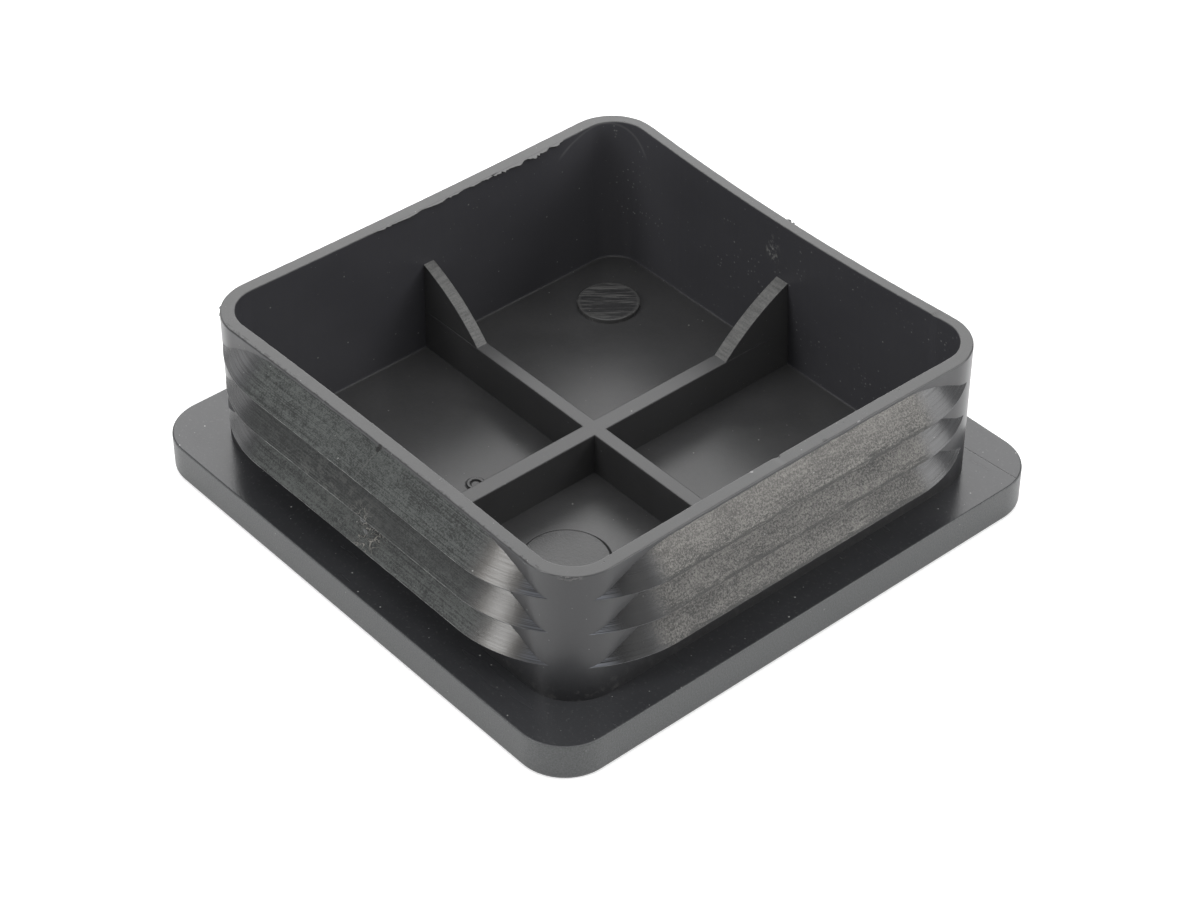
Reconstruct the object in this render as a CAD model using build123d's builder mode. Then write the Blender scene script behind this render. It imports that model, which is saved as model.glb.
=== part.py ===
from build123d import *
import os

# Square tube end cap, moulded in one piece: a flat flange that covers the end of the tube, and
# a hollow plug with three sawtooth barbs round it, stiffened inside by a cross of ribs.
# Millimetres. The cap stands on its flange: the outer face is at z = 0 and the plug points up.

# Flange
flange_side = 60.0
flange_thick = 3.9
flange_corner = 4.9
flange_edge = 0.4           # radius round the edge of the outer face
flange_lip = 0.15           # radius round the edge that the tube stands on

# Plug: a thin square wall, open at the top and hollow down into the flange
plug_x = 52.6               # outside of the wall, across X
plug_y = 51.7               # outside of the wall, across Y
plug_corner = 5.1
plug_height = 14.4          # from the flange to the rim
wall = 1.4
thin_wall = 1.15            # the wall on the +Y side
floor_thick = 1.5
floor_corner = 3.0          # of the hollow, at the floor
floor_fillet = 0.3          # where the walls meet the floor

# How far the middle of each wall has drawn in at the rim as the moulding cooled
sink_px = 0.2
sink_py = 0.9
sink_nx = 0.25
sink_ny = 0.25

# Barbs: a flank slopes outwards on its way down to a tip, which is cut off square below
barb_count = 3
barb_side = 56.9            # tip to tip
barb_corner = 13.7          # the tips turn the corners in a wider arc than the wall does
barb_rise = 2.65            # height of a flank, from its tip up to the wall
barb_pitch = 3.85
barb_band = 0.3             # plain wall between the top flank and the rim
barb_root = 0.1             # share of a flank that runs on into the wall

# Ribs in a cross on the floor, with a gusset from each rib end up the wall
rib_x_thick = 1.5           # the rib that runs along X
rib_y_thick = 1.8           # the rib that runs along Y
rib_height = 4.55           # from the floor
gusset_reach = 8.2          # along the rib, from the wall
gusset_rise = 5.7           # up the wall, from the top of the rib
gusset_bulge = 0.65         # of its upper edge, out from a straight line

# Ejector marks that stand up from the floor
pad_at = (-18.2, 17.7)
pad_radius = 3.2
pad_height = 0.45
disc_at = (8.7, -11.0)
disc_radius = 4.2
disc_height = 0.12
ring_at = (-5.15, -10.4)
ring_radius = 0.88
ring_width = 0.35
ring_height = 0.12

# Heights and widths that follow
rim_z = flange_thick + plug_height
rib_z = floor_thick + rib_height
inside_x = plug_x / 2 - wall
inside_py = plug_y / 2 - thin_wall
inside_ny = plug_y / 2 - wall
wall_flat = plug_x / 2 - plug_corner


def dip(sink, height, along):
    """How far a wall has drawn in at a height, at a distance along it from its middle."""
    sunk = sink * max(0, height - flange_thick) / plug_height
    return sunk * max(0, 1 - (along / wall_flat) ** 2)


def outline(half_x, half_py, half_ny, corner, height):
    """A rounded square whose sides have drawn in as the walls have at this height."""
    end_x = half_x - corner
    far_y = half_py - corner
    near_y = half_ny - corner
    px = half_x - dip(sink_px, height, far_y)
    nx = half_x - dip(sink_nx, height, far_y)
    py = half_py - dip(sink_py, height, end_x)
    ny = half_ny - dip(sink_ny, height, end_x)
    bend = corner * (1 - 0.5 ** 0.5)
    with BuildSketch() as face:
        with BuildLine():
            side((px, -near_y), (half_x - dip(sink_px, height, 0), 0), (px, far_y))
            ThreePointArc((px, far_y), (half_x - bend, half_py - bend), (end_x, py))
            side((end_x, py), (0, half_py - dip(sink_py, height, 0)), (-end_x, py))
            ThreePointArc((-end_x, py), (bend - half_x, half_py - bend), (-nx, far_y))
            side((-nx, far_y), (dip(sink_nx, height, 0) - half_x, 0), (-nx, -near_y))
            ThreePointArc((-nx, -near_y), (bend - half_x, bend - half_ny), (-end_x, -ny))
            side((-end_x, -ny), (0, dip(sink_ny, height, 0) - half_ny), (end_x, -ny))
            ThreePointArc((end_x, -ny), (half_x - bend, bend - half_ny), (px, -near_y))
        make_face()
    return face.sketch


def side(start, middle, end):
    """A side of an outline: straight at the flange, bowed above it."""
    if start[0] == middle[0] or start[1] == middle[1]:
        Line(start, end)
    else:
        ThreePointArc(start, middle, end)


def gusset(inside, way):
    """Side view of a gusset: the wall is at this distance along the rib, one way or the other."""
    foot = (way * (inside - gusset_reach), rib_z)
    top = (way * inside, rib_z + gusset_rise)
    span = (gusset_reach ** 2 + gusset_rise ** 2) ** 0.5
    middle = ((foot[0] + top[0]) / 2 - way * gusset_bulge * gusset_rise / span,
              (foot[1] + top[1]) / 2 + gusset_bulge * gusset_reach / span)
    back = way * (inside + thin_wall / 2)
    with BuildSketch() as face:
        with BuildLine():
            ThreePointArc(foot, middle, top)
            Polyline(top, (back, top[1]), (back, flange_thick), (foot[0], flange_thick), foot)
        make_face()
    return face.sketch


with BuildPart() as end_cap:
    # Flange
    with BuildSketch():
        RectangleRounded(flange_side, flange_side, flange_corner)
    extrude(amount=flange_thick)
    fillet(end_cap.faces().sort_by(Axis.Z)[0].edges(), flange_edge)
    fillet(end_cap.faces().sort_by(Axis.Z)[-1].edges(), flange_lip)

    # Plug
    with BuildSketch(Plane.XY.offset(flange_thick)):
        add(outline(plug_x / 2, plug_y / 2, plug_y / 2, plug_corner, flange_thick))
    with BuildSketch(Plane.XY.offset(rim_z)):
        add(outline(plug_x / 2, plug_y / 2, plug_y / 2, plug_corner, rim_z))
    loft(ruled=True)

    # Barbs, from the top one down
    for step in range(barb_count):
        top_z = rim_z - barb_band - step * barb_pitch
        tip_z = top_z - barb_rise
        end_z = top_z + barb_root * barb_rise
        end_x = plug_x / 2 - barb_root * (barb_side - plug_x) / 2
        end_y = plug_y / 2 - barb_root * (barb_side - plug_y) / 2
        end_corner = barb_corner - (1 + barb_root) * (barb_side - plug_x) / 2
        with BuildSketch(Plane.XY.offset(tip_z)):
            add(outline(barb_side / 2, barb_side / 2, barb_side / 2, barb_corner, tip_z))
        with BuildSketch(Plane.XY.offset(end_z)):
            add(outline(end_x, end_y, end_y, end_corner, end_z))
        loft(ruled=True)

    # Hollow
    with BuildSketch(Plane.XY.offset(floor_thick)):
        add(outline(inside_x, inside_py, inside_ny, floor_corner, floor_thick))
    with BuildSketch(Plane.XY.offset(rim_z)):
        add(outline(inside_x, inside_py, inside_ny, plug_corner - wall, rim_z))
    loft(ruled=True, mode=Mode.SUBTRACT)
    hollow_floor = end_cap.faces().filter_by(Plane.XY).filter_by_position(
        Axis.Z, floor_thick - 0.01, floor_thick + 0.01)
    fillet(hollow_floor.edges(), floor_fillet)

    # Ribs
    with BuildSketch(Plane.XY.offset(floor_thick)):
        Rectangle(plug_x - wall, rib_x_thick)
        Rectangle(rib_y_thick, plug_y - wall)
    extrude(amount=rib_height)

    # Gussets
    with BuildSketch(Plane.XZ):
        add(gusset(inside_x, 1))
        add(gusset(inside_x, -1))
    extrude(amount=rib_x_thick / 2, both=True)
    with BuildSketch(Plane.YZ):
        add(gusset(inside_py, 1))
        add(gusset(inside_ny, -1))
    extrude(amount=rib_y_thick / 2, both=True)

    # Ejector marks
    with BuildSketch(Plane.XY.offset(floor_thick)):
        with Locations(pad_at):
            Circle(pad_radius)
    extrude(amount=pad_height)
    with BuildSketch(Plane.XY.offset(floor_thick)):
        with Locations(disc_at):
            Circle(disc_radius)
    extrude(amount=disc_height)
    with BuildSketch(Plane.XY.offset(floor_thick)):
        with Locations(ring_at):
            Circle(ring_radius)
            Circle(ring_radius - ring_width, mode=Mode.SUBTRACT)
    extrude(amount=ring_height)

end_cap.part.label = "end_cap"

os.makedirs("parts", exist_ok=True)
export_step(end_cap.part, "parts/end_cap.step")
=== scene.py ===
import math
import random

import bmesh
import bpy
from mathutils import Matrix, Vector, noise


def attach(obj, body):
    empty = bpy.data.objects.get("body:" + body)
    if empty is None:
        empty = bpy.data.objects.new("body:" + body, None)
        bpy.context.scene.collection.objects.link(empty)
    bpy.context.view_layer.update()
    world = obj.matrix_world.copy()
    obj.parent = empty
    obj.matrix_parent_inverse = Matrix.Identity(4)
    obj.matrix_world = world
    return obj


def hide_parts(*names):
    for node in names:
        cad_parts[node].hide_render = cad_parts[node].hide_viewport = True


MM = 0.001                  # metres

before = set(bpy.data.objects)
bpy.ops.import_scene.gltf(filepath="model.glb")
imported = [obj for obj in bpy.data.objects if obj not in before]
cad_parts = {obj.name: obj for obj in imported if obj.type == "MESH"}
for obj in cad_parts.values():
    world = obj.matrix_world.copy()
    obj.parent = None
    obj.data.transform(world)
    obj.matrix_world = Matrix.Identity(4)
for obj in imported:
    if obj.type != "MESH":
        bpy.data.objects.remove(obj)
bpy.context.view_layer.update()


# ---------------------------------------------------------------- sizes of the moulding, mm

FLANGE_HALF = 30.0
FLANGE_TOP = 3.9
FLANGE_CORNER = 4.9

RIM = 18.3
WALL_X = 26.3               # outside of the wall
WALL_Y = 25.85
WALL_CORNER = 5.1
INSIDE_X = 24.9             # inside of the wall; PY is the +Y wall and NY the -Y wall
INSIDE_PY = 24.7
INSIDE_NY = 24.45
INSIDE_CORNER = 3.7         # of the hollow, at the rim
FLOOR = 1.5
FLOOR_CORNER = 3.0          # of the hollow, at the floor

BARB_HALF = 28.45           # from the middle of the cap to a tip
BARB_TIPS = (7.65, 11.5, 15.35)
BARB_PITCH = 3.85
BARB_RISE = 2.65            # from a tip up to where its flank meets the wall
BARB_CORNER = 13.7

RIB_TOP = 6.05
RIB_X = 0.75                # half the thickness of the rib along X
RIB_Y = 0.9                 # half the thickness of the rib along Y
GUSSET_REACH = 8.2          # along the rib
GUSSET_RISE = 5.7           # up the wall, from the top of the rib

PAD_AT = (-18.2, 17.7)      # the deep ejector mark
PAD_RADIUS = 3.2
PAD_TOP = 1.95
DISC_AT = (8.7, -11.0)      # the faint ejector mark
DISC_RADIUS = 4.2
RING_AT = (-5.15, -10.4)    # the small raised ring
RING_OUT = 0.88
RING_IN = 0.53
MARK_TOP = 1.6              # of the disc, and the side of the ring


# ---------------------------------------------------------------- shader maths

class Value:
    """A number, colour or vector in a material, which plain arithmetic can be done on."""

    def __init__(self, shader, socket):
        self.shader = shader
        self.socket = socket

    def __add__(self, other):
        return self.shader.math("ADD", self, other)

    def __radd__(self, other):
        return self.shader.math("ADD", other, self)

    def __sub__(self, other):
        return self.shader.math("SUBTRACT", self, other)

    def __rsub__(self, other):
        return self.shader.math("SUBTRACT", other, self)

    def __mul__(self, other):
        return self.shader.math("MULTIPLY", self, other)

    def __rmul__(self, other):
        return self.shader.math("MULTIPLY", other, self)

    def __truediv__(self, other):
        return self.shader.math("DIVIDE", self, other)

    def __pow__(self, other):
        return self.shader.math("POWER", self, other)

    def beside(self, name):
        """Another output of the same node."""
        return Value(self.shader, self.socket.node.outputs[name])


class Shader:
    """A material under construction; x, y and z are the place on the object, in mm."""

    def __init__(self, name, rough):
        self.material = bpy.data.materials.new(name)
        self.material.use_nodes = True
        self.tree = self.material.node_tree
        self.bsdf = self.tree.nodes["Principled BSDF"]
        self.bsdf.inputs["Roughness"].default_value = rough
        self.bsdf.inputs["IOR"].default_value = 1.5
        self.place = self.add("ShaderNodeTexCoord", out="Object")
        along_x = self.add("ShaderNodeSeparateXYZ", None, {0: self.place}, "X")
        self.x = along_x * 1000
        self.y = along_x.beside("Y") * 1000
        self.z = along_x.beside("Z") * 1000

    def put(self, socket, value):
        """Links a value to a socket, or sets the socket to a plain number or colour."""
        if isinstance(value, Value):
            self.tree.links.new(value.socket, socket)
        else:
            socket.default_value = value

    def add(self, kind, settings=None, inputs=None, out=0):
        """Any node: its settings first, then its sockets; gives one of its outputs."""
        node = self.tree.nodes.new(kind)
        for key, value in (settings or {}).items():
            setattr(node, key, value)
        for key, value in (inputs or {}).items():
            self.put(node.inputs[key], value)
        return Value(self, node.outputs[out])

    def math(self, operation, one, other=0.0, clamp=False):
        """A Math node, whose result may be clamped between 0 and 1."""
        return self.add("ShaderNodeMath", {"operation": operation, "use_clamp": clamp},
                        {0: one, 1: other})

    def ramp(self, value, low, high):
        """0 below low and 1 above high, with a smooth rise between them."""
        return self.add("ShaderNodeMapRange", {"interpolation_type": "SMOOTHSTEP"},
                        {"Value": value, "From Min": low, "From Max": high})

    def between(self, value, low, high, soft):
        """1 between two limits, with soft edges."""
        return self.ramp(value, low - soft, low + soft) * (
            1 - self.ramp(value, high - soft, high + soft))

    def stretch(self, scale):
        """The place on the object in millimetres, stretched before it meets a pattern."""
        return self.add("ShaderNodeMapping", {"vector_type": "POINT"},
                        {"Vector": self.place, "Scale": [1000 * s for s in scale]})

    def noise(self, scale, detail=2.0, rough=0.5, warp=0.0):
        """Cloudy noise; scale is in features a millimetre, for all axes or for each."""
        if not isinstance(scale, tuple):
            scale = (scale,) * 3
        return self.add("ShaderNodeTexNoise", {"noise_dimensions": "3D"},
                        {"Vector": self.stretch(scale), "Scale": 1.0, "Detail": detail,
                         "Roughness": rough, "Distortion": warp})

    def spots(self, spacing, size, share):
        """Small round specks: about one in each cell, and only in a share of the cells."""
        away = self.add("ShaderNodeTexVoronoi", {"feature": "F1"},
                        {"Vector": self.stretch((1 / spacing,) * 3), "Scale": 1.0}, "Distance")
        chance = self.add("ShaderNodeSeparateColor", None, {0: away.beside("Color")})
        near = 1 - self.ramp(away, 0.3 * size / spacing, size / spacing)
        return near * self.math("LESS_THAN", chance, share)

    def mix(self, factor, one, other):
        """Blends two colours."""
        one, other = (c if isinstance(c, Value) else (*c, 1) for c in (one, other))
        return self.add("ShaderNodeMix", {"data_type": "RGBA"}, {0: factor, 6: one, 7: other}, 2)

    def distance(self, px, py, pz, weight=(1, 1, 1)):
        """Distance in millimetres from a point; a low weight makes an axis count for less."""
        dx = (self.x - px) * weight[0]
        dy = (self.y - py) * weight[1]
        dz = (self.z - pz) * weight[2]
        return self.math("SQRT", dx * dx + dy * dy + dz * dz)

    def finish(self, colour, rough, height, depth):
        """Joins the results to the surface; a height of 1 stands out by the depth, in mm."""
        self.put(self.bsdf.inputs["Base Color"], colour)
        if isinstance(rough, Value):
            rough = self.math("MAXIMUM", rough, 0.05)
        self.put(self.bsdf.inputs["Roughness"], rough)
        bump = self.add("ShaderNodeBump", None,
                        {"Height": height, "Distance": depth * MM, "Strength": 1.0})
        self.put(self.bsdf.inputs["Normal"], bump)
        return self.material


def dusty(s, colour, share=0.35, pale=(0.30, 0.30, 0.29)):
    """Fine pale specks of dust over a colour."""
    specks = s.spots(1.5, 0.11, share)
    fine = s.spots(0.8, 0.07, share * 0.6)
    return s.mix(s.math("MAXIMUM", specks * 0.85, fine * 0.5), colour, pale)


# ---------------------------------------------------------------- finishes

def moulded(name, tone, rough, grain, cloud, scratch=0.0):
    """Plain moulded black plastic with a fine grain, faint clouds and dust."""
    s = Shader(name, rough)
    cloud_map = s.noise(0.16, 3.0)
    fine = s.noise(6.5, 2.0)
    lines = s.noise((0.5, 7.0, 0.5), 2.0, warp=0.4)
    shade = (cloud_map - 0.5) * cloud * 2 + (fine - 0.5) * grain + 0.5
    low = [c * 0.55 for c in tone]
    high = [c * 1.45 for c in tone]
    colour = dusty(s, s.mix(s.math("ADD", shade, 0.0, True), low, high))
    height = fine * grain + lines * scratch
    return s.finish(colour, (cloud_map - 0.5) * 0.12 + rough, height, 0.012)


def post_finish():
    """The outside of the wall: smooth, with ragged scuffs just under the rim, a notch there
    painted in shade, and painted shade at its foot.
    """
    s = Shader("corner_post", 0.30)
    cloud_map = s.noise(0.16, 3.0)
    fine = s.noise(6.5, 2.0)
    torn = s.noise((2.5, 2.5, 6.0), 3.0, 0.7)
    tone = s.mix(cloud_map * 0.6 + fine * 0.4, (0.026, 0.0264, 0.0285), (0.044, 0.0445, 0.047))
    at_front = s.distance(24.9, -24.3, 18.15, (0.55, 0.55, 2.2))
    at_left = s.distance(-24.0, -24.7, 18.1, (0.3, 0.3, 2.0))
    at_rim = s.math("MINIMUM", at_front, at_left)
    scuff = (1 - s.ramp(at_rim, 0.3, 0.8)) * s.ramp(torn, 0.45, 0.58)
    low = s.noise(1.8, 4.0, 0.75)
    grime = s.ramp(low, 0.52, 0.68) * (1 - s.ramp(s.z, 4.4, 7.2))
    # painted shade: a near-black mark where a notch cuts into the top of the wall
    shaded_notch = 1 - s.ramp(s.distance(0.9, -25.7, 18.1, (1.15, 1, 0.8)), 0.26, 0.34)
    # painted shade at the foot of the wall, where it meets the flange
    tone = s.mix((1 - s.ramp(s.z, 4.2, 7.6)) * 0.6, tone, (0.012, 0.012, 0.013))
    tone = s.mix(scuff * 0.7, tone, (0.16, 0.155, 0.15))
    tone = s.mix(grime * 0.35, tone, (0.085, 0.083, 0.08))
    tone = s.mix(shaded_notch * 0.9, tone, (0.005, 0.005, 0.005))
    rough = (cloud_map - 0.5) * 0.1 + shaded_notch * 0.4 + grime * 0.15 + 0.30
    return s.finish(dusty(s, tone, 0.4), rough, fine * 0.12 + scuff * 2.0 + grime * 0.5, 0.012)


# Pits and crumbs on the rim's +X side: x, y and radius in mm, and how pale
RIM_MARKS = (
    (24.85, -0.33, 0.24, 0.004),
    (24.85, -3.50, 0.18, 0.220),
    (25.95, 4.30, 0.32, 0.012),
    (26.15, 8.40, 0.28, 0.200),
)


def lip_finish():
    """The rim: matt, with dark pits along it, short pale scratches and a notch painted in shade.
    """
    s = Shader("rim", 0.36)
    cloud_map = s.noise(0.16, 3.0)
    fine = s.noise(6.5, 2.0)
    pits = s.spots(0.9, 0.10, 0.22)
    scratch = s.ramp(s.noise((1.4, 1.4, 3.0), 4.0, 0.7, warp=1.0), 0.66, 0.72)
    tone = s.mix(cloud_map * 0.5 + fine * 0.5, (0.035, 0.035, 0.0355), (0.059, 0.059, 0.0595))
    tone = s.mix(pits * 0.8, tone, (0.008, 0.008, 0.008))
    tone = s.mix(scratch * 0.5, tone, (0.12, 0.12, 0.12))
    torn = s.noise(1.6, 4.0, 0.75)
    ragged = 1 - s.ramp(s.y, -25.50, -25.25)
    tone = s.mix(ragged * s.spots(1.9, 0.26, 0.6) * 0.9, tone, (0.42, 0.42, 0.41))
    tone = s.mix(ragged * (1 - s.ramp(torn, 0.42, 0.47)) * 0.9, tone, (0.004, 0.004, 0.004))
    for x, y, radius, shade in RIM_MARKS:
        mark = 1 - s.ramp(s.distance(x, y, RIM, (1, 1, 0.5)), radius * 0.6, radius)
        tone = s.mix(mark * 0.85, tone, (shade,) * 3)
    # painted shade: a near-black mark stands for a notch at the rim's outer edge
    notch = 1 - s.ramp(s.distance(0.9, -25.72, 18.2, (0.8, 1, 1)), 0.22, 0.30)
    tone = s.mix(notch * 0.85, tone, (0.006, 0.006, 0.006))
    rough = (cloud_map - 0.5) * 0.12 + notch * 0.4 + 0.36
    return s.finish(dusty(s, tone, 0.5), rough, fine * 0.3 - pits * 2.0 + scratch, 0.012)


def ledge_finish():
    """The top of the flange: glossier, with a scribed line near one corner and fine hairs."""
    s = Shader("flange_top_gloss", 0.24)
    cloud_map = s.noise(0.12, 3.0)
    fine = s.noise(6.0, 2.0)
    off_line = s.math("ABSOLUTE", s.y - 26.3 - (s.x - 23.3) * 0.05)
    scribe = (1 - s.ramp(off_line, 0.02, 0.07)) * s.ramp(s.x, 23.2, 23.5)
    smear = s.noise((0.09, 0.5, 0.3), 3.0)
    tone = s.mix(cloud_map, (0.026, 0.0265, 0.029), (0.041, 0.042, 0.045))
    grey = s.ramp(s.noise(2.6, 4.0, 0.75), 0.55, 0.75)
    tone = s.mix(grey * 0.5, tone, (0.085, 0.085, 0.085))
    colour = dusty(s, s.mix(scribe * 0.8, tone, (0.008, 0.008, 0.008)), 0.9, (0.42, 0.42, 0.41))
    rough = (cloud_map - 0.5) * 0.08 + s.ramp(smear, 0.55, 0.75) * 0.08 + 0.23
    return s.finish(colour, rough, fine * 0.6 - scribe * 2.0, 0.012)


def inside_finish():
    """The inner walls: smooth, with a flow mark in one corner, a scuff, specks and painted shade
    beside a gusset.
    """
    s = Shader("inner_wall", 0.34)
    cloud_map = s.noise((0.10, 0.10, 0.22), 3.0)
    fine = s.noise(5.0, 2.0)
    along = s.x + s.y           # grows to the right in the back corner
    into_corner = s.y - s.x
    oval = ((along + 2.25) / 6.6) ** 2 + ((s.z - 14.0) / 4.2) ** 2
    off_arc = s.math("ABSOLUTE", s.math("SQRT", oval) - 1) * 4.6
    arc = (1 - s.ramp(off_arc, 0.02, 0.22)) * s.ramp(s.z, 14.6, 16.0)
    right_end = s.ramp(along + 2.0, -1.5, 0.5)
    flow = arc * s.ramp(into_corner, 38.0, 40.0) * (
        1 - (1 - right_end) * (1 - s.ramp(s.z, 15.9, 16.8)))
    from_rub = s.distance(-1.3, 24.0, 14.6, (1, 0.3, 0.6))
    scuff = (1 - s.ramp(from_rub, 0.3, 1.3)) * s.ramp(
        s.noise((2.2, 2.2, 1.3), 4.0, 0.7), 0.50, 0.62)
    tone = s.mix(cloud_map, (0.031, 0.031, 0.035), (0.046, 0.046, 0.052))
    from_gusset = s.distance(0.5, 24.0, 5.0, (1, 0, 0.8))
    # painted shade on the +Y wall beside the foot of its gusset
    shaded = s.ramp(s.y, 22.0, 23.0) * (1 - s.ramp(from_gusset, 1.5, 5.5))
    tone = s.mix(shaded * 0.45, tone, (0.014, 0.014, 0.016))
    tone = s.mix(s.ramp(into_corner, 37.0, 46.0) * 0.6, tone, (0.070, 0.070, 0.077))
    tone = s.mix(0.27, tone, (0.080, 0.080, 0.088))
    tone = s.mix(flow * 0.9, tone, (0.105, 0.105, 0.11))
    drift = s.ramp(s.noise((0.14, 0.14, 0.25), 3.0), 0.44, 0.60)
    powder = s.spots(0.5, 0.12, 0.45) * drift * s.ramp(s.y, 23.0, 23.4)
    tone = s.mix(powder * 0.85, tone, (0.22, 0.22, 0.22))
    colour = dusty(s, s.mix(scuff, tone, (0.24, 0.24, 0.23)), 0.6)
    return s.finish(colour, (cloud_map - 0.5) * 0.1 + 0.34, fine * 0.16 + scuff * 0.6, 0.012)


def floor_finish():
    """The floor of the hollow, with the fine outlines of the disc and of the small ring; painted
    shade widens the disc's outline on its sides towards +X+Y and -Y.
    """
    s = Shader("hollow_floor", 0.3)
    cloud_map = s.noise(0.14, 3.0, warp=0.5)
    fine = s.noise(6.0, 2.0)
    worn = s.ramp(s.noise(0.35, 2.0), 0.1, 0.4)
    off_x = s.x - DISC_AT[0]
    off_y = s.y - DISC_AT[1]
    to_right = off_x * 0.157 + off_y * 0.18
    to_front = off_x * 0.18 - off_y * 0.157
    # painted shade: the disc's outline is drawn wider on its sides towards +X+Y and towards -Y
    wider = s.ramp(to_right, 0.55, 0.9) + s.ramp(to_front - to_right, 0.75, 1.1)
    from_disc = s.distance(*DISC_AT, MARK_TOP, (1, 1, 0.1))
    off_outline = s.math("ABSOLUTE", from_disc - (DISC_RADIUS + 0.05))
    outline = 1 - s.ramp(off_outline / (wider * 0.55 + 0.65), 0.05, 0.14)
    from_ring = s.distance(*RING_AT, MARK_TOP, (1, 1, 0.1))
    rings = (1 - s.ramp(s.math("ABSOLUTE", from_ring - 0.95), 0.03, 0.11)) + (
        1 - s.ramp(s.math("ABSOLUTE", from_ring - 0.47), 0.02, 0.09))
    groove = s.math("MAXIMUM", outline * worn, rings * 0.55)
    mottle = s.noise(1.8, 4.0, 0.75)
    tone = s.mix(cloud_map * 0.6 + mottle * 0.4, (0.025, 0.025, 0.026), (0.058, 0.058, 0.059))
    colour = dusty(s, s.mix(groove * 0.85, tone, (0.006, 0.006, 0.006)), 0.4)
    on_disc = 1 - s.ramp(from_disc, DISC_RADIUS - 0.1, DISC_RADIUS)
    leather = s.noise(3.0, 3.0, 0.7) * (on_disc * 2.5 + 0.4)
    rough = (cloud_map - 0.5) * 0.16 + groove * 0.6 + 0.31
    return s.finish(colour, rough, fine * 0.5 - groove * 4.0 + leather, 0.012)


STREAK_TURN = math.radians(-48.95)
STREAK_SHIFT = (0.0242, -0.0023, 0.0)   # metres; it picks the streaks that cross the pad


def pad_finish():
    """The deep ejector mark, with streaks torn across it and a painted highlight along its edge.
    """
    s = Shader("ejector_mark", 0.3)
    turned = s.add("ShaderNodeMapping", {"vector_type": "POINT"},
                   {"Vector": s.place, "Location": STREAK_SHIFT,
                    "Rotation": (0, 0, STREAK_TURN)})
    across = s.add("ShaderNodeMapping", {"vector_type": "POINT"},
                   {"Vector": turned, "Scale": (220.0, 2600.0, 300.0)})
    streak = s.add("ShaderNodeTexNoise", {"noise_dimensions": "3D"},
                   {"Vector": across, "Scale": 1.0, "Detail": 4.0, "Roughness": 0.65,
                    "Distortion": 0.4})
    fine = s.noise(5.0, 2.0)
    from_middle = s.distance(*PAD_AT, PAD_TOP, (0.754, 0.657, 0))
    off_edge = (PAD_RADIUS - 0.05) - s.distance(*PAD_AT, PAD_TOP, (1, 1, 0))
    edge_highlight = 1 - s.ramp(off_edge, 0.12, 0.4)
    bright = s.ramp(streak, 0.47, 0.66)
    tone = s.mix(bright, (0.026, 0.026, 0.027), (0.105, 0.105, 0.103))
    # painted highlight along the pad's rounded edge
    tone = s.mix(edge_highlight * 0.6, tone, (0.075, 0.075, 0.074))
    rough = 0.40 - bright * 0.12 - s.ramp(from_middle, 2.2, 3.0) * 0.05
    return s.finish(dusty(s, tone, 0.4), rough, streak + fine * 0.2, 0.05)


def rib_finish():
    """The ribs and the sides of the gussets, with painted light on the +X side and top edge of
    the rib and gusset towards +Y.
    """
    s = Shader("rib_surface", 0.36)
    fine = s.noise(6.0, 2.0)
    cloud_map = s.noise(0.3, 3.0)
    tone = s.mix(cloud_map, (0.036, 0.036, 0.037), (0.054, 0.054, 0.055))
    # painted light: the +X side and top edge of the rib and gusset towards +Y are lighter
    facing = s.ramp(s.x, 0.70, 0.76) * s.ramp(s.y, 3.0, 12.0)
    tone = s.mix(facing, tone, (0.062, 0.062, 0.063))
    colour = dusty(s, tone, 0.4)
    return s.finish(colour, (cloud_map - 0.5) * 0.1 + 0.36, fine * 0.25, 0.015)


def flank_masks(s):
    """The sandy middle of the +X side, the whole -Y side, and its scuffed middle."""
    sandy = s.ramp(s.x, 25.4, 25.9) * (1 - s.ramp(s.math("ABSOLUTE", s.y + 0.3), 15.0, 17.2))
    on_y = 1 - s.ramp(s.y, -25.6, -25.0)
    scuffed = on_y * (1 - s.ramp(s.math("ABSOLUTE", s.x), 14.5, 18.0))
    return sandy, on_y, scuffed


def sandy_flank(s, sand, drag, patch, from_tip):
    """The +X side: warm and sandy, paler at the top, with torn dark tips."""
    streaks = s.noise((0.8, 0.8, 8.0), 3.0, 0.7, warp=0.4)
    torn = s.math("MAXIMUM",
                  (1 - s.ramp(from_tip, 0.04, 0.13)) * s.ramp(drag, 0.38, 0.50),
                  (1 - s.ramp(from_tip, 0.12, 0.40)) * s.ramp(streaks, 0.54, 0.60))
    tone = s.mix(s.ramp(sand * 0.7 + drag * 0.2 + patch * 0.2, 0.44, 0.68),
                 (0.013, 0.0125, 0.011), (0.192, 0.184, 0.170))
    tone = s.mix(s.ramp(s.z, 15.4, 17.6) * 0.22, tone, (0.23, 0.218, 0.203))
    return s.mix(torn * 0.85, tone, (0.010, 0.010, 0.009))


def scuffed_flank(s, sand, mottle, patch, brush):
    """The -Y side: greenish grey scuffs over black, darkest on the middle barb."""
    tone = s.mix(s.ramp(sand * 0.45 + mottle * 0.2 + patch * 0.15 + brush * 0.3, 0.465, 0.635),
                 (0.006, 0.007, 0.007), (0.072, 0.079, 0.075))
    middle = s.between(s.z, 11.55, 15.2, 0.12)
    return s.mix(middle * s.ramp(patch, 0.3, 0.55) * 0.6, tone, (0.008, 0.009, 0.009))


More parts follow.
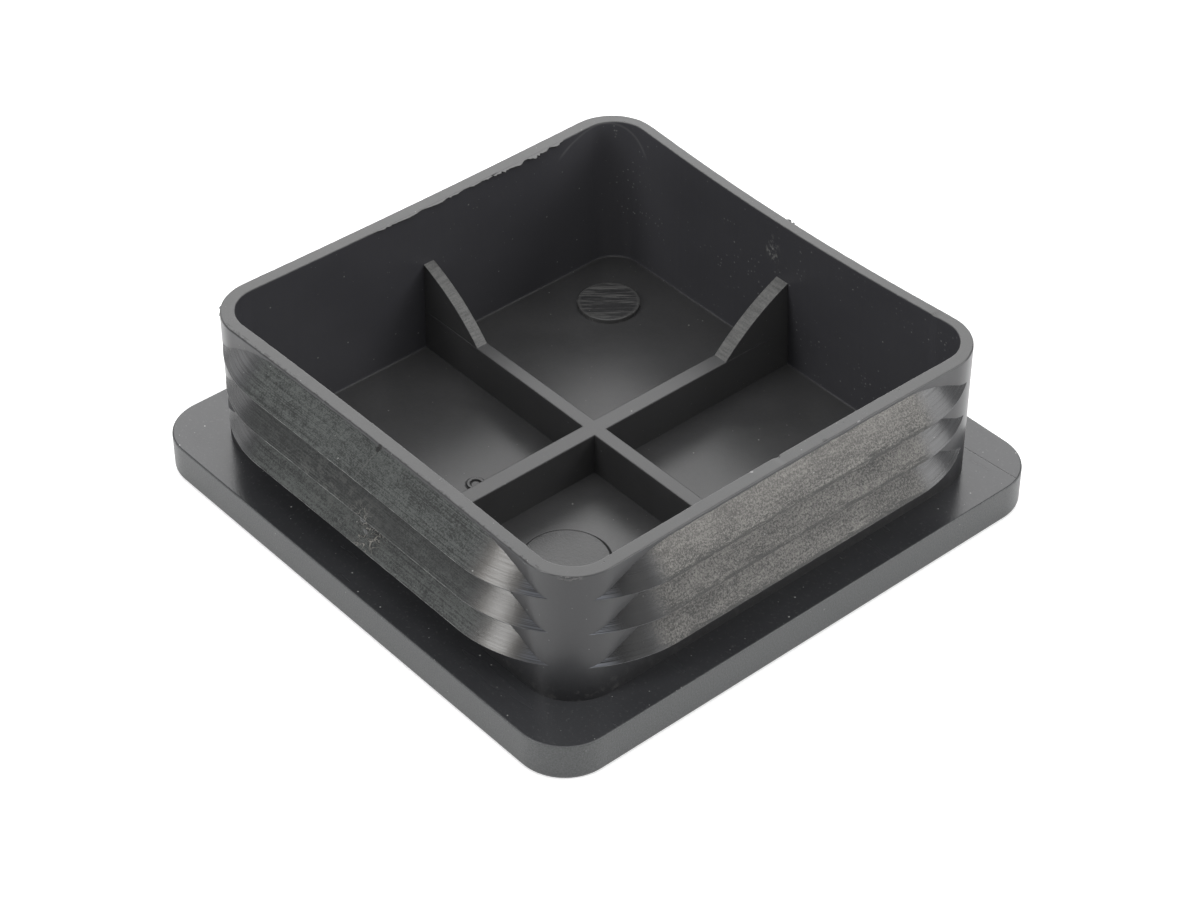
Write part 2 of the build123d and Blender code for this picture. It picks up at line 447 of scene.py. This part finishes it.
def turned_flank(s, brush, from_tip, on_y):
    """Elsewhere: turned round and brushed, with painted highlights, a painted warm highlight and
    painted shade at the front corner, and a painted reflection of the floor at the left corner.
    """
    lines = s.ramp(brush, 0.34, 0.66)
    tone = s.mix(lines, (0.016, 0.0165, 0.0178), (0.050, 0.051, 0.054))
    # painted shade: a dark band on the cones of the +X side near the front corner
    shaded = s.between(s.y, -20.6, -17.2, 0.9) * s.ramp(s.x, 23.0, 24.5)
    tone = s.mix(shaded * 0.95, tone, (0.002, 0.002, 0.0025))
    # painted highlights: pale bluish points at the front corner, on the -Y and the +X side
    highlight_ny = (1 - s.ramp(s.y, -23.8, -21.8)) * s.ramp(s.x, 20.5, 21.5)
    tone = s.mix(highlight_ny * lines * 0.7, tone, (0.105, 0.112, 0.130))
    highlight_px = (1 - s.ramp(s.y, -22.4, -20.2)) * s.ramp(s.x + s.y, 1.0, 3.5)
    tone = s.mix(highlight_px * s.ramp(brush, 0.42, 0.56) * 0.8, tone, (0.15, 0.158, 0.178))
    # painted highlight: a warm tint on the cones of the -Y side near the front corner
    warm_highlight = s.between(s.x, 16.5, 20.5, 1.5) * on_y
    tone = s.mix(warm_highlight * 0.6, tone, (0.075, 0.065, 0.050))
    # painted reflection of the white floor on the cones at the left corner
    floor_reflection = s.ramp(s.x * -1, 20.5, 23.5) * (1 - s.ramp(s.y, -21.0, -18.5))
    floor_reflection = floor_reflection * s.ramp(from_tip, 0.1, 0.6) * (s.ramp(brush, 0.3, 0.5) * 0.6 + 0.3)
    return s.mix(floor_reflection, tone, (0.24, 0.23, 0.21))


def flank_finish():
    """The barbs: turned at the corners, sandy on the +X side and scuffed on the -Y side."""
    s = Shader("barb_flank", 0.33)
    sandy, on_y, scuffed = flank_masks(s)
    turned = (1 - sandy) * (1 - scuffed)
    brush = s.noise((0.04, 0.04, 15.0), 2.0, 0.6)
    sand = s.noise((5.6, 5.6, 6.4), 3.0, 0.8)
    drag = s.noise((0.55, 0.55, 5.0), 3.0, 0.6, warp=0.6)
    patch = s.noise((0.16, 0.16, 0.40), 3.0, 0.6)
    mottle = s.noise((1.1, 1.1, 1.6), 4.0, 0.7)
    # 0 a little above each tip and 1 halfway between two of them
    from_tip = s.math("PINGPONG", s.z - 7.75, BARB_PITCH / 2) / (BARB_PITCH / 2)
    plain = s.mix(scuffed, turned_flank(s, brush, from_tip, on_y),
                  scuffed_flank(s, sand, mottle, patch, brush))
    colour = s.mix(sandy, plain, sandy_flank(s, sand, drag, patch, from_tip))

    # dirt in thin curls with painted shade round them, a rub mark, and a notch painted in shade
    # with a slash beside it: all on the -Y side
    curl = s.math("ABSOLUTE", s.noise((0.8, 0.8, 1.0), 2.0, 0.5, warp=1.6) - 0.5)
    curl_dirt_and_shade = (1 - s.ramp(s.distance(0.8, -27.2, 9.7, (0.6, 0.3, 0.45)), 0.5, 1.5)) * on_y
    dirt = curl_dirt_and_shade * (1 - s.ramp(curl, 0.010, 0.028))
    from_rub = s.distance(-3.0, -27.2, 10.6, (0.16, 0.3, 0.42))
    rub = (1 - s.ramp(from_rub, 0.4, 1.6)) * s.between(mottle, 0.55, 0.66, 0.04) * on_y
    # painted shade: a near-black mark where the notch in the rim meets the top barb
    shaded_notch = 1 - s.ramp(s.distance(0.8, -25.8, 17.95, (1.15, 1, 0.8)), 0.24, 0.33)
    off_slash = s.math("ABSOLUTE", s.x - s.z * 0.29 + 4.33)
    slash = (1 - s.ramp(off_slash, 0.02, 0.10)) * s.ramp(s.z, 15.2, 15.6) * on_y
    # painted shade: a dark band round the pale curls of dirt
    colour = s.mix(curl_dirt_and_shade * (1 - s.ramp(curl, 0.05, 0.09)) * 0.85, colour, (0.007, 0.007, 0.006))
    colour = s.mix(s.math("MAXIMUM", rub * 0.6, slash * 0.45), colour, (0.085, 0.085, 0.08))
    colour = s.mix(shaded_notch * 0.95, colour, (0.002, 0.002, 0.002))
    colour = dusty(s, s.mix(dirt * 0.95, colour, (0.26, 0.25, 0.225)), 0.35)

    rough = sandy * 0.20 + scuffed * 0.14 + turned * (0.5 - brush) * 0.3 + shaded_notch * 0.4 + 0.225
    height = brush * (turned * 0.10 + 0.3) + sand * (sandy * 1.6 + scuffed * 1.0) + (
        drag * sandy * 0.5 + dirt * 1.5)
    return s.finish(colour, rough, height, 0.022)


def tip_finish():
    """The blunt tips of the barbs: a fine broken line, a painted highlight on the -Y side and
    dark on the sandy side.
    """
    s = Shader("barb_tip", 0.35)
    sandy, _, scuffed = flank_masks(s)
    broken = s.ramp(s.noise((0.9, 0.9, 2.0), 3.0, 0.7), 0.42, 0.58)
    # painted highlight: the fine bright line along the tips on the scuffed -Y side
    bright = s.mix(broken, (0.05, 0.05, 0.05), (0.17, 0.175, 0.17))
    dark = s.mix(broken, (0.012, 0.012, 0.011), (0.08, 0.076, 0.07))
    plain_tip = s.mix(broken, (0.04, 0.04, 0.042), (0.075, 0.076, 0.08))
    colour = s.mix(sandy, s.mix(scuffed, plain_tip, bright), dark)
    return s.finish(colour, 0.35, broken, 0.01)


def gusset_finish():
    """The gussets' bowed upper edges: matt, with fine lines across them."""
    s = Shader("gusset_edge", 0.5)
    fine = s.noise(6.0, 3.0, 0.7)
    across = s.noise((0.6, 0.6, 7.0), 2.0)
    tone = s.mix(s.ramp(fine * 0.5 + across * 0.5, 0.3, 0.7), (0.060, 0.060, 0.059),
                 (0.135, 0.135, 0.132))
    return s.finish(dusty(s, tone, 0.4), 0.45, fine * 0.4 + across, 0.02)


# ---------------------------------------------------------------- making meshes

def new_piece(name, bm, materials):
    """Makes a mesh object of the cap from a bmesh in millimetres."""
    bmesh.ops.scale(bm, vec=(MM, MM, MM), verts=bm.verts)
    bmesh.ops.recalc_face_normals(bm, faces=bm.faces)
    for face in bm.faces:
        face.smooth = True
    mesh = bpy.data.meshes.new(name)
    bm.to_mesh(mesh)
    bm.free()
    mesh.set_sharp_from_angle(angle=math.radians(10))
    piece = bpy.data.objects.new(name, mesh)
    bpy.context.scene.collection.objects.link(piece)
    for material in materials:
        mesh.materials.append(material)
    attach(piece, "root")
    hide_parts("end_cap")
    return piece


def ring(bm, half_x, far_y, near_y, corner, z, sides=150, turns=18):
    """A rounded square face: its corners are bevelled and its sides divided evenly."""
    before = set(bm.faces)
    verts = bmesh.ops.create_grid(bm, x_segments=1, y_segments=1, size=1.0)["verts"]
    bmesh.ops.scale(bm, vec=(half_x, (far_y + near_y) / 2, 1), verts=verts)
    bmesh.ops.translate(bm, vec=(0, (far_y - near_y) / 2, z), verts=verts)
    bmesh.ops.bevel(bm, geom=verts, offset=corner, offset_type="OFFSET", affect="VERTICES",
                    segments=turns, profile=0.5, material=-1)
    face = [f for f in bm.faces if f not in before][0]
    long_edges = [e for e in face.edges if e.calc_length() > corner]
    bmesh.ops.subdivide_edges(bm, edges=long_edges, cuts=sides)
    return face


def skin(bm, one, other, material, sides=150, turns=18):
    """Joins two rounded squares with a band of faces and takes the squares away."""
    face_a = ring(bm, *one, sides=sides, turns=turns)
    face_b = ring(bm, *other, sides=sides, turns=turns)
    loops = list(face_a.edges) + list(face_b.edges)
    bmesh.ops.delete(bm, geom=[face_a, face_b], context="FACES_ONLY")
    for face in bmesh.ops.bridge_loops(bm, edges=loops)["faces"]:
        face.material_index = material


def seam(bm, one, other):
    """The edges between the faces of two materials."""
    pair = {one, other}
    return [e for e in bm.edges if {f.material_index for f in e.link_faces} == pair]


def soften(bm, edges, radius, segments=2):
    """Rounds some edges."""
    return bmesh.ops.bevel(bm, geom=edges, offset=radius, offset_type="OFFSET", affect="EDGES",
                           segments=segments, profile=0.5, material=-1, clamp_overlap=True)


# How far the middle of each wall has drawn in at the rim: PX is the +X wall, NX the -X wall
SINK_PX = 0.2
SINK_PY = 0.9
SINK_NX = 0.25
SINK_NY = 0.25
FLAT = 21.2                 # from the middle of a wall to the start of its corner
NEAR_Y = 20.7               # what is further out than this along Y belongs to the Y walls
CORNER_EASE = 0.14          # how softly the bow runs out at the corners


def draw_in(bm):
    """Bows the walls inwards, more towards the rim, as they shrank in the mould."""
    for v in bm.verts:
        x, y, z = v.co
        level = max(0.0, z - FLANGE_TOP) / (RIM - FLANGE_TOP)
        across_x, across_y = (0.5 * (bow + math.hypot(bow, CORNER_EASE))
                              for bow in (1 - (x / FLAT) ** 2, 1 - (y / FLAT) ** 2))
        if y > NEAR_Y:
            v.co.y -= SINK_PY * level * across_x
        if y < -NEAR_Y:
            v.co.y += SINK_NY * level * across_x
        if x > FLAT:
            v.co.x -= SINK_PX * level * across_y
        if x < -FLAT:
            v.co.x += SINK_NX * level * across_y


# ---------------------------------------------------------------- the shell

# The shell's materials, in the order in which it is given them
BOTTOM, EDGE, LEDGE, NECK, LIP, INSIDE, BASE = range(7)

# Knocks in the rim: where, how wide, and how far the edge is pushed (x, y, z), mm
NICKS = (
    ((24.78, -0.4, RIM), 0.30, (0.14, 0.0, -0.05)),
    ((19.5, 24.9, RIM), 0.50, (0.0, -0.12, -0.05)),
)

WAVER = 0.025               # of the rim's edges, sideways
HOLLOW = 0.015              # of the rim's top, downwards


def wear(bm):
    """Fine unevenness along the rim, and the knocks in it."""
    for v in bm.verts:
        if v.co.z < RIM - 0.3:
            continue
        p = v.co.copy()
        v.co.x += WAVER * noise.noise(p * 1.7)
        v.co.y += WAVER * noise.noise(p * 1.7 + Vector((9, 4, 2)))
        v.co.z -= HOLLOW * abs(noise.noise(p * 0.9 + Vector((3, 7, 5))))
        for at, reach, push in NICKS:
            near = 1 - (p - Vector(at)).length / reach
            if near > 0:
                v.co += Vector(push) * min(1.0, near * 1.6)


def shell(materials):
    """Flange, plug wall and floor in one skin, from the outer face round to the floor."""
    bm = bmesh.new()
    flange = (FLANGE_HALF, FLANGE_HALF, FLANGE_HALF, FLANGE_CORNER)
    wall = (WALL_X, WALL_Y, WALL_Y, WALL_CORNER)
    hollow = (INSIDE_X, INSIDE_PY, INSIDE_NY)
    foot, top = (*flange, 0.0), (*flange, FLANGE_TOP)
    root, rim_out = (*wall, FLANGE_TOP), (*wall, RIM)
    rim_in, floor = (*hollow, INSIDE_CORNER, RIM), (*hollow, FLOOR_CORNER, FLOOR)
    ring(bm, *foot).material_index = BOTTOM
    skin(bm, foot, top, EDGE)
    skin(bm, top, root, LEDGE)
    skin(bm, root, rim_out, NECK)
    skin(bm, rim_out, rim_in, LIP)
    skin(bm, rim_in, floor, INSIDE)
    ring(bm, *floor).material_index = BASE
    bmesh.ops.remove_doubles(bm, verts=bm.verts, dist=0.001)
    bmesh.ops.recalc_face_normals(bm, faces=bm.faces)
    draw_in(bm)
    soften(bm, seam(bm, BOTTOM, EDGE), 0.4, 4)
    soften(bm, seam(bm, EDGE, LEDGE), 0.15, 3)
    soften(bm, seam(bm, NECK, LIP), 0.13, 3)
    soften(bm, seam(bm, LIP, INSIDE), 0.10, 3)
    soften(bm, seam(bm, INSIDE, BASE), 0.16, 2)
    wear(bm)
    return new_piece("cap_shell", bm, materials)


def into_wall(bm, depth):
    """Keeps the hidden roots of the barbs inside the thickness of the wall."""
    flat_x, flat_y = WALL_X - WALL_CORNER, WALL_Y - WALL_CORNER
    for v in bm.verts:
        out = Vector((max(abs(v.co.x) - flat_x, 0), max(abs(v.co.y) - flat_y, 0)))
        reach = out.length - WALL_CORNER
        if reach < -depth and out.length > 0:
            push = out.normalized() * (-depth - reach)
            v.co.x += math.copysign(push.x, v.co.x)
            v.co.y += math.copysign(push.y, v.co.y)


def swell(v):
    """The barbs reach further round the front corner on their +X side, the top one least."""
    arc_middle = BARB_HALF - BARB_CORNER
    out = Vector((v.co.x - arc_middle, v.co.y + arc_middle))
    if v.co.x < arc_middle or v.co.y > -arc_middle or out.length < 9:
        return
    turn = math.degrees(math.atan2(-out.y, out.x))
    peak, spread = 36, 14       # degrees round the corner, from +X
    amount = 0.13 if v.co.z < 14.9 else 0.05
    out = out.normalized() * amount * max(0.0, 1 - abs(turn - peak) / spread)
    v.co.x += out.x
    v.co.y += out.y


def barbs(materials):
    """Three sawtooth rings; their corners turn wider than the wall's and sink into its posts."""
    bm = bmesh.new()
    steps = 12
    run_x = BARB_HALF - WALL_X
    run_y = BARB_HALF - WALL_Y
    undercut = 3.0
    root = BARB_HALF - undercut
    for tip in BARB_TIPS:
        rings = [(root, root, root, BARB_CORNER - undercut, tip)]
        for i in range(steps + 1):
            t = i / steps * 1.1     # the flank runs on into the wall
            rings.append((BARB_HALF - run_x * t, BARB_HALF - run_y * t, BARB_HALF - run_y * t,
                          BARB_CORNER - run_x * t, tip + BARB_RISE * t))
        for a, b, index in zip(rings, rings[1:] + rings[:1], [0] + [1] * steps + [0]):
            skin(bm, a, b, index, sides=40, turns=32)
    bmesh.ops.remove_doubles(bm, verts=bm.verts, dist=0.001)
    bmesh.ops.recalc_face_normals(bm, faces=bm.faces)
    into_wall(bm, 0.45)
    tips = [e for e in seam(bm, 0, 1)
            if any(abs(e.verts[0].co.z - tip) < 0.01 for tip in BARB_TIPS)]
    draw_in(bm)
    for face in soften(bm, tips, 0.08, 2)["faces"]:
        face.material_index = 2
    noise.seed_set(5)           # without it, noise_vector starts from the clock
    for v in bm.verts:
        swell(v)
        v.co += noise.noise_vector(v.co * 0.6) * 0.012
    return new_piece("barb_rings", bm, materials)


# ---------------------------------------------------------------- inside the plug

def prism(bm, points, depth, direction):
    """A flat outline of a few points, extruded."""
    face = bm.faces.new([bm.verts.new(p) for p in points])
    grown = bmesh.ops.extrude_face_region(bm, geom=[face])["geom"]
    far = [g for g in grown if isinstance(g, bmesh.types.BMVert)]
    bmesh.ops.translate(bm, vec=Vector(direction) * depth, verts=far)
    return list(face.verts) + far


def ribs(materials):
    """The cross of ribs, a little thinner towards the back walls; its ends are in the walls."""
    bm = bmesh.new()
    end_px, end_py, end_nx, end_ny = 25.5, 25.2, -25.5, -25.0
    thin_nx, thin_py = RIB_X - 0.08, RIB_Y - 0.1
    low = 1.0                   # its foot is under the floor
    points = [(RIB_Y, end_ny), (RIB_Y, -RIB_X), (end_px, -RIB_X), (end_px, RIB_X),
              (RIB_Y, RIB_X), (thin_py, end_py), (-thin_py, end_py), (-RIB_Y, RIB_X),
              (end_nx, thin_nx), (end_nx, -thin_nx), (-RIB_Y, -RIB_X), (-RIB_Y, end_ny)]
    prism(bm, [(x, y, low) for x, y in points], RIB_TOP - low, (0, 0, 1))
    edges = [e for e in bm.edges if all(v.co.z > RIB_TOP - 0.05 for v in e.verts)]
    soften(bm, edges, 0.10, 2)
    return new_piece("cross_ribs", bm, materials)


def gusset(bm, inside, thick, turn, bulge):
    """A gusset with a bowed upper edge, against the wall at the end of a rib."""
    foot = Vector((inside - GUSSET_REACH, RIB_TOP - 0.02))
    top = Vector((inside, RIB_TOP + GUSSET_RISE))
    chord = top - foot
    outwards = Vector((-chord.y, chord.x)).normalized()
    steps = 12
    bow = []
    for t in [i / steps for i in range(steps + 1)]:
        bow.append(foot + chord * t + outwards * 4 * bulge * t * (1 - t))
    back, low = inside + 0.8, 4.0       # inside the wall, and inside the rib
    outline = bow + [Vector((back, top.y)), Vector((back, low)), Vector((foot.x, low))]
    verts = prism(bm, [(p.x, -thick / 2, p.y) for p in outline], thick, (0, 1, 0))

    def on_bow(piece):
        return all(w.co.z > RIB_TOP - 0.03 and w.co.x < inside + 0.1 for w in piece.verts)

    edges = {e for v in verts for e in v.link_edges
             if on_bow(e) and abs(e.verts[0].co.y - e.verts[1].co.y) < 0.01}
    for v in verts:
        for face in v.link_faces:
            if on_bow(face):
                face.material_index = 1
    bmesh.ops.rotate(bm, cent=(0, 0, 0), matrix=Matrix.Rotation(turn, 3, "Z"), verts=verts)
    soften(bm, list(edges), 0.08, 2)


def gussets(materials):
    """One gusset at each end of each rib, a hair thinner than the rib: +X, +Y, -X and -Y."""
    bm = bmesh.new()
    gusset(bm, INSIDE_X, 1.42, 0, 0.6)
    gusset(bm, INSIDE_PY - 0.35, 1.6, math.pi / 2, 0.5)
    gusset(bm, INSIDE_X, 1.28, math.pi, 0.6)
    gusset(bm, INSIDE_NY, 1.7, -math.pi / 2, 0.6)
    return new_piece("gussets", bm, materials)


def button(bm, at, radius, low, high, round_off):
    """A low round button on the floor."""
    made = bmesh.ops.create_cone(bm, cap_ends=True, segments=64, radius1=radius, radius2=radius,
                                 depth=high - low)["verts"]
    bmesh.ops.translate(bm, vec=(at[0], at[1], (high + low) / 2), verts=made)
    edges = [e for v in made for e in v.link_edges if all(w.co.z > high - 0.001 for w in e.verts)]
    soften(bm, list(set(edges)), round_off, 2)


BUTTON_FOOT = 1.2           # under the floor


def pad(materials):
    """The deep ejector mark in the back compartment."""
    bm = bmesh.new()
    button(bm, PAD_AT, PAD_RADIUS, BUTTON_FOOT, PAD_TOP, 0.10)
    return new_piece("ejector_pad", bm, materials)


def marks(materials):
    """The faint ejector mark at the front, and the small ring beside the rib."""
    bm = bmesh.new()
    button(bm, DISC_AT, DISC_RADIUS, BUTTON_FOOT, MARK_TOP, 0.04)
    crest = MARK_TOP + 0.06
    profile = [(RING_IN, BUTTON_FOOT), (RING_IN, MARK_TOP), (RING_IN + 0.07, crest),
               (RING_OUT - 0.08, crest), (RING_OUT, MARK_TOP), (RING_OUT, BUTTON_FOOT)]
    verts = [bm.verts.new((r, 0, z)) for r, z in profile]
    edges = [bm.edges.new((a, b)) for a, b in zip(verts, verts[1:] + verts[:1])]
    bmesh.ops.spin(bm, geom=verts + edges, cent=(0, 0, 0), axis=(0, 0, 1),
                   angle=2 * math.pi, steps=32, use_merge=True)
    small_ring = [v for v in bm.verts if v.co.length < 2.1]
    bmesh.ops.translate(bm, vec=(*RING_AT, 0), verts=small_ring)
    return new_piece("ejector_marks", bm, materials)


# ---------------------------------------------------------------- flash and burrs

FLASH_STEP = 0.22           # between the points of its torn edge
FLASH_THICK = 0.13
FLASH_ROOT = 0.25           # how far it reaches into the rim


def flash_strip(bm, start, end, inwards, breadth, seed):
    """A thin torn lamella along the inner edge of the rim."""
    chance = random.Random(seed)
    start, end, inwards = Vector(start), Vector(end), Vector(inwards)
    count = int((end - start).length / FLASH_STEP)
    grid = bmesh.ops.create_grid(bm, x_segments=count, y_segments=1, size=1.0)["verts"]
    offset = chance.uniform(0, 50)
    for v in grid:
        t = (v.co.x + 1) / 2
        along = start.lerp(end, t)
        drawn = SINK_NX * max(0.0, 1 - (along.y / FLAT) ** 2) if inwards.x > 0.5 else 0.0
        base = along + inwards * drawn
        coarse = noise.noise(Vector((t * 9 + offset, 0, 0)))
        fine = noise.noise(Vector((t * 45 + offset, 5, 0)))
        width = breadth * max(0.05, 0.55 + 0.9 * coarse + 0.45 * fine)
        width *= min(1.0, 12 * t, 12 * (1 - t))
        reach = -FLASH_ROOT if v.co.y < 0 else width
        v.co = base + inwards * reach
    thick = bmesh.ops.extrude_face_region(bm, geom=list({f for v in grid for f in v.link_faces}))
    lower = [g for g in thick["geom"] if isinstance(g, bmesh.types.BMVert)]
    bmesh.ops.translate(bm, vec=(0, 0, -FLASH_THICK), verts=lower)


def flash(materials):
    """Torn flash along the rim's inner edge, mostly on the -X wall."""
    bm = bmesh.new()
    z = RIM - 0.012
    on_nx, on_ny = -INSIDE_X - 0.05, -INSIDE_NY - 0.05
    flash_strip(bm, (on_nx, -7.0, z), (on_nx, 9.0, z), (1, 0, 0), 0.35, 3)
    flash_strip(bm, (on_nx, 8.0, z), (on_nx, 17.5, z), (1, 0, 0), 0.62, 8)
    flash_strip(bm, (9.0, on_ny, z), (22.0, on_ny, z), (0, 1, 0), 0.10, 11)
    return new_piece("rim_flash", bm, materials)


def burr(bm, at, size, seed):
    """A small torn lump of plastic."""
    chance = random.Random(seed)
    made = bmesh.ops.create_icosphere(bm, subdivisions=2, radius=1.0)["verts"]
    shift = Vector((chance.uniform(0, 9), chance.uniform(0, 9), chance.uniform(0, 9)))
    for v in made:
        lump = 1 + 0.55 * noise.noise(v.co * 1.4 + shift)
        v.co = Vector(at) + Vector([c * s for c, s in zip(v.co * lump, size)])


# Crumbs of plastic on the rim and the barbs: where, and how large along x, y and z, mm
CRUMBS = (
    ((-24.85, -24.2, 17.95), (0.26, 0.20, 0.26)),
    ((-24.45, -24.6, 17.6), (0.18, 0.14, 0.22)),
    ((-0.25, 25.0, 18.15), (0.28, 0.16, 0.12)),
    ((0.25, 25.1, 18.05), (0.16, 0.14, 0.1)),
    ((24.62, -24.22, 18.1), (0.28, 0.28, 0.07)),
    ((21.0, -25.8, 18.12), (0.3, 0.12, 0.08)),
    ((-7.2, -25.6, 18.15), (0.22, 0.12, 0.1)),
    ((0.6, -27.75, 10.6), (0.35, 0.12, 0.2)),
    ((1.3, -28.0, 9.9), (0.3, 0.12, 0.25)),
)


def burrs(materials):
    """Crumbs of plastic left on the rim and the barbs."""
    bm = bmesh.new()
    for seed, (at, size) in enumerate(CRUMBS, 1):
        burr(bm, at, size, seed)
    return new_piece("burrs", bm, materials)


# ---------------------------------------------------------------- the cap

edge = moulded("flange_edge", (0.063, 0.066, 0.067), 0.42, grain=1.7, cloud=0.12)
under = moulded("outer_face", (0.038, 0.039, 0.041), 0.36, grain=0.4, cloud=0.2, scratch=0.5)
post = post_finish()
lip = lip_finish()
rib = rib_finish()
flank = flank_finish()
shell([under, edge, ledge_finish(), post, lip, inside_finish(), floor_finish()])
barbs([flank, flank, tip_finish()])
ribs([rib])
gussets([rib, gusset_finish()])
pad([pad_finish()])
marks([floor_finish()])
flash([lip])
burrs([edge])


# ---------------------------------------------------------------- stage, light and camera

FLOOR_GLOW = 0.45           # added where the camera or a reflection sees the floor


def stage_floor():
    """A plain pale floor, which the camera sees as white apart from the cap's shadow."""
    bm = bmesh.new()
    bmesh.ops.create_grid(bm, x_segments=1, y_segments=1, size=3.0)
    mesh = bpy.data.meshes.new("floor")
    bm.to_mesh(mesh)
    bm.free()
    floor = bpy.data.objects.new("floor", mesh)
    bpy.context.scene.collection.objects.link(floor)
    s = Shader("pale_floor", 0.9)
    s.put(s.bsdf.inputs["Base Color"], (0.8, 0.8, 0.8, 1))
    lit = Value(s, s.bsdf.outputs[0])
    camera_ray = s.add("ShaderNodeLightPath", out="Is Camera Ray")
    seen = s.math("MAXIMUM", camera_ray, camera_ray.beside("Is Glossy Ray"))
    glow = s.add("ShaderNodeEmission", None, {"Color": (1, 1, 1, 1), "Strength": FLOOR_GLOW})
    white = s.add("ShaderNodeAddShader", None, {0: lit, 1: glow})
    surface = s.add("ShaderNodeMixShader", None, {0: seen, 1: lit, 2: white})
    s.put(s.tree.nodes["Material Output"].inputs["Surface"], surface)
    floor.data.materials.append(s.material)


CAMERA_AT = (0.1702, -0.1475, 0.1900)
CAMERA_TURN = 48.95         # degrees round from -Y towards +X
CAMERA_UP = 39.66           # degrees
CAMERA_ROLL = 0.08
CAMERA_LENS = 92.35

FAR_SIDE = math.radians(CAMERA_TURN + 90)   # the way the camera looks, round from +X

LIGHTS = [
    # name, degrees clockwise from the far side, degrees up, width and height in m, watts
    ("back", 0, 40, 0.50, 0.35, 1.6),
    ("back_low", 0, 12, 0.90, 0.25, 2.2),
    ("right", 92, 25, 0.40, 0.35, 1.8),
    ("right_front", 125, 30, 0.40, 0.35, 0.55),
    ("left_front", -120, 32, 0.17, 0.35, 1.65),
    ("left_back", -55, 18, 0.40, 0.30, 0.5),
    ("top", 0, 88, 0.60, 0.60, 2.2),
    ("front_top", 180, 60, 0.50, 0.40, 0.4),
]
LIGHT_AWAY = 0.7            # metres
WORLD_LIGHT = 0.41


def softbox(name, round_deg, up_deg, width, height, watts):
    """A soft panel that faces the cap."""
    turn = FAR_SIDE - math.radians(round_deg)
    up = math.radians(up_deg)
    way = Vector((math.cos(turn) * math.cos(up), math.sin(turn) * math.cos(up), math.sin(up)))
    light = bpy.data.lights.new(name, "AREA")
    light.shape = "RECTANGLE"
    light.size = width
    light.size_y = height
    light.energy = watts
    lamp = bpy.data.objects.new(name, light)
    lamp.location = way * LIGHT_AWAY
    lamp.rotation_euler = (-way).to_track_quat("-Z", "Y").to_euler()
    bpy.context.scene.collection.objects.link(lamp)


def camera():
    """The camera, above the front corner of the cap."""
    turn, tilt, roll = (math.radians(a) for a in (CAMERA_TURN, CAMERA_UP, CAMERA_ROLL))
    back = Vector((math.sin(turn) * math.cos(tilt), -math.cos(turn) * math.cos(tilt),
                   math.sin(tilt)))
    right = Vector((math.cos(turn), math.sin(turn), 0))
    up = back.cross(right)
    right, up = (right * math.cos(roll) + up * math.sin(roll),
                 up * math.cos(roll) - right * math.sin(roll))
    data = bpy.data.cameras.new("camera")
    data.sensor_fit = "HORIZONTAL"
    data.sensor_width = 36
    data.lens = CAMERA_LENS
    data.clip_start = 0.01
    cam = bpy.data.objects.new("camera", data)
    facing = Matrix((right, up, back)).transposed().to_4x4()
    cam.matrix_world = Matrix.Translation(CAMERA_AT) @ facing
    bpy.context.scene.collection.objects.link(cam)
    bpy.context.scene.camera = cam


def studio():
    """Even surroundings, white to the camera, and the lights."""
    world = bpy.data.worlds.new("studio")
    world.use_nodes = True
    tree = world.node_tree
    grey = tree.nodes["Background"]
    grey.inputs["Color"].default_value = (1, 1, 1, 1)
    grey.inputs["Strength"].default_value = WORLD_LIGHT
    white = tree.nodes.new("ShaderNodeBackground")
    white.inputs["Color"].default_value = (1, 1, 1, 1)
    white.inputs["Strength"].default_value = 1.0
    seen = tree.nodes.new("ShaderNodeLightPath")
    mix = tree.nodes.new("ShaderNodeMixShader")
    tree.links.new(seen.outputs["Is Camera Ray"], mix.inputs[0])
    tree.links.new(grey.outputs[0], mix.inputs[1])
    tree.links.new(white.outputs[0], mix.inputs[2])
    tree.links.new(mix.outputs[0], tree.nodes["World Output"].inputs[0])
    bpy.context.scene.world = world
    for light in LIGHTS:
        softbox(*light)
    bpy.context.scene.view_settings.view_transform = "Standard"


stage_floor()
camera()
studio()
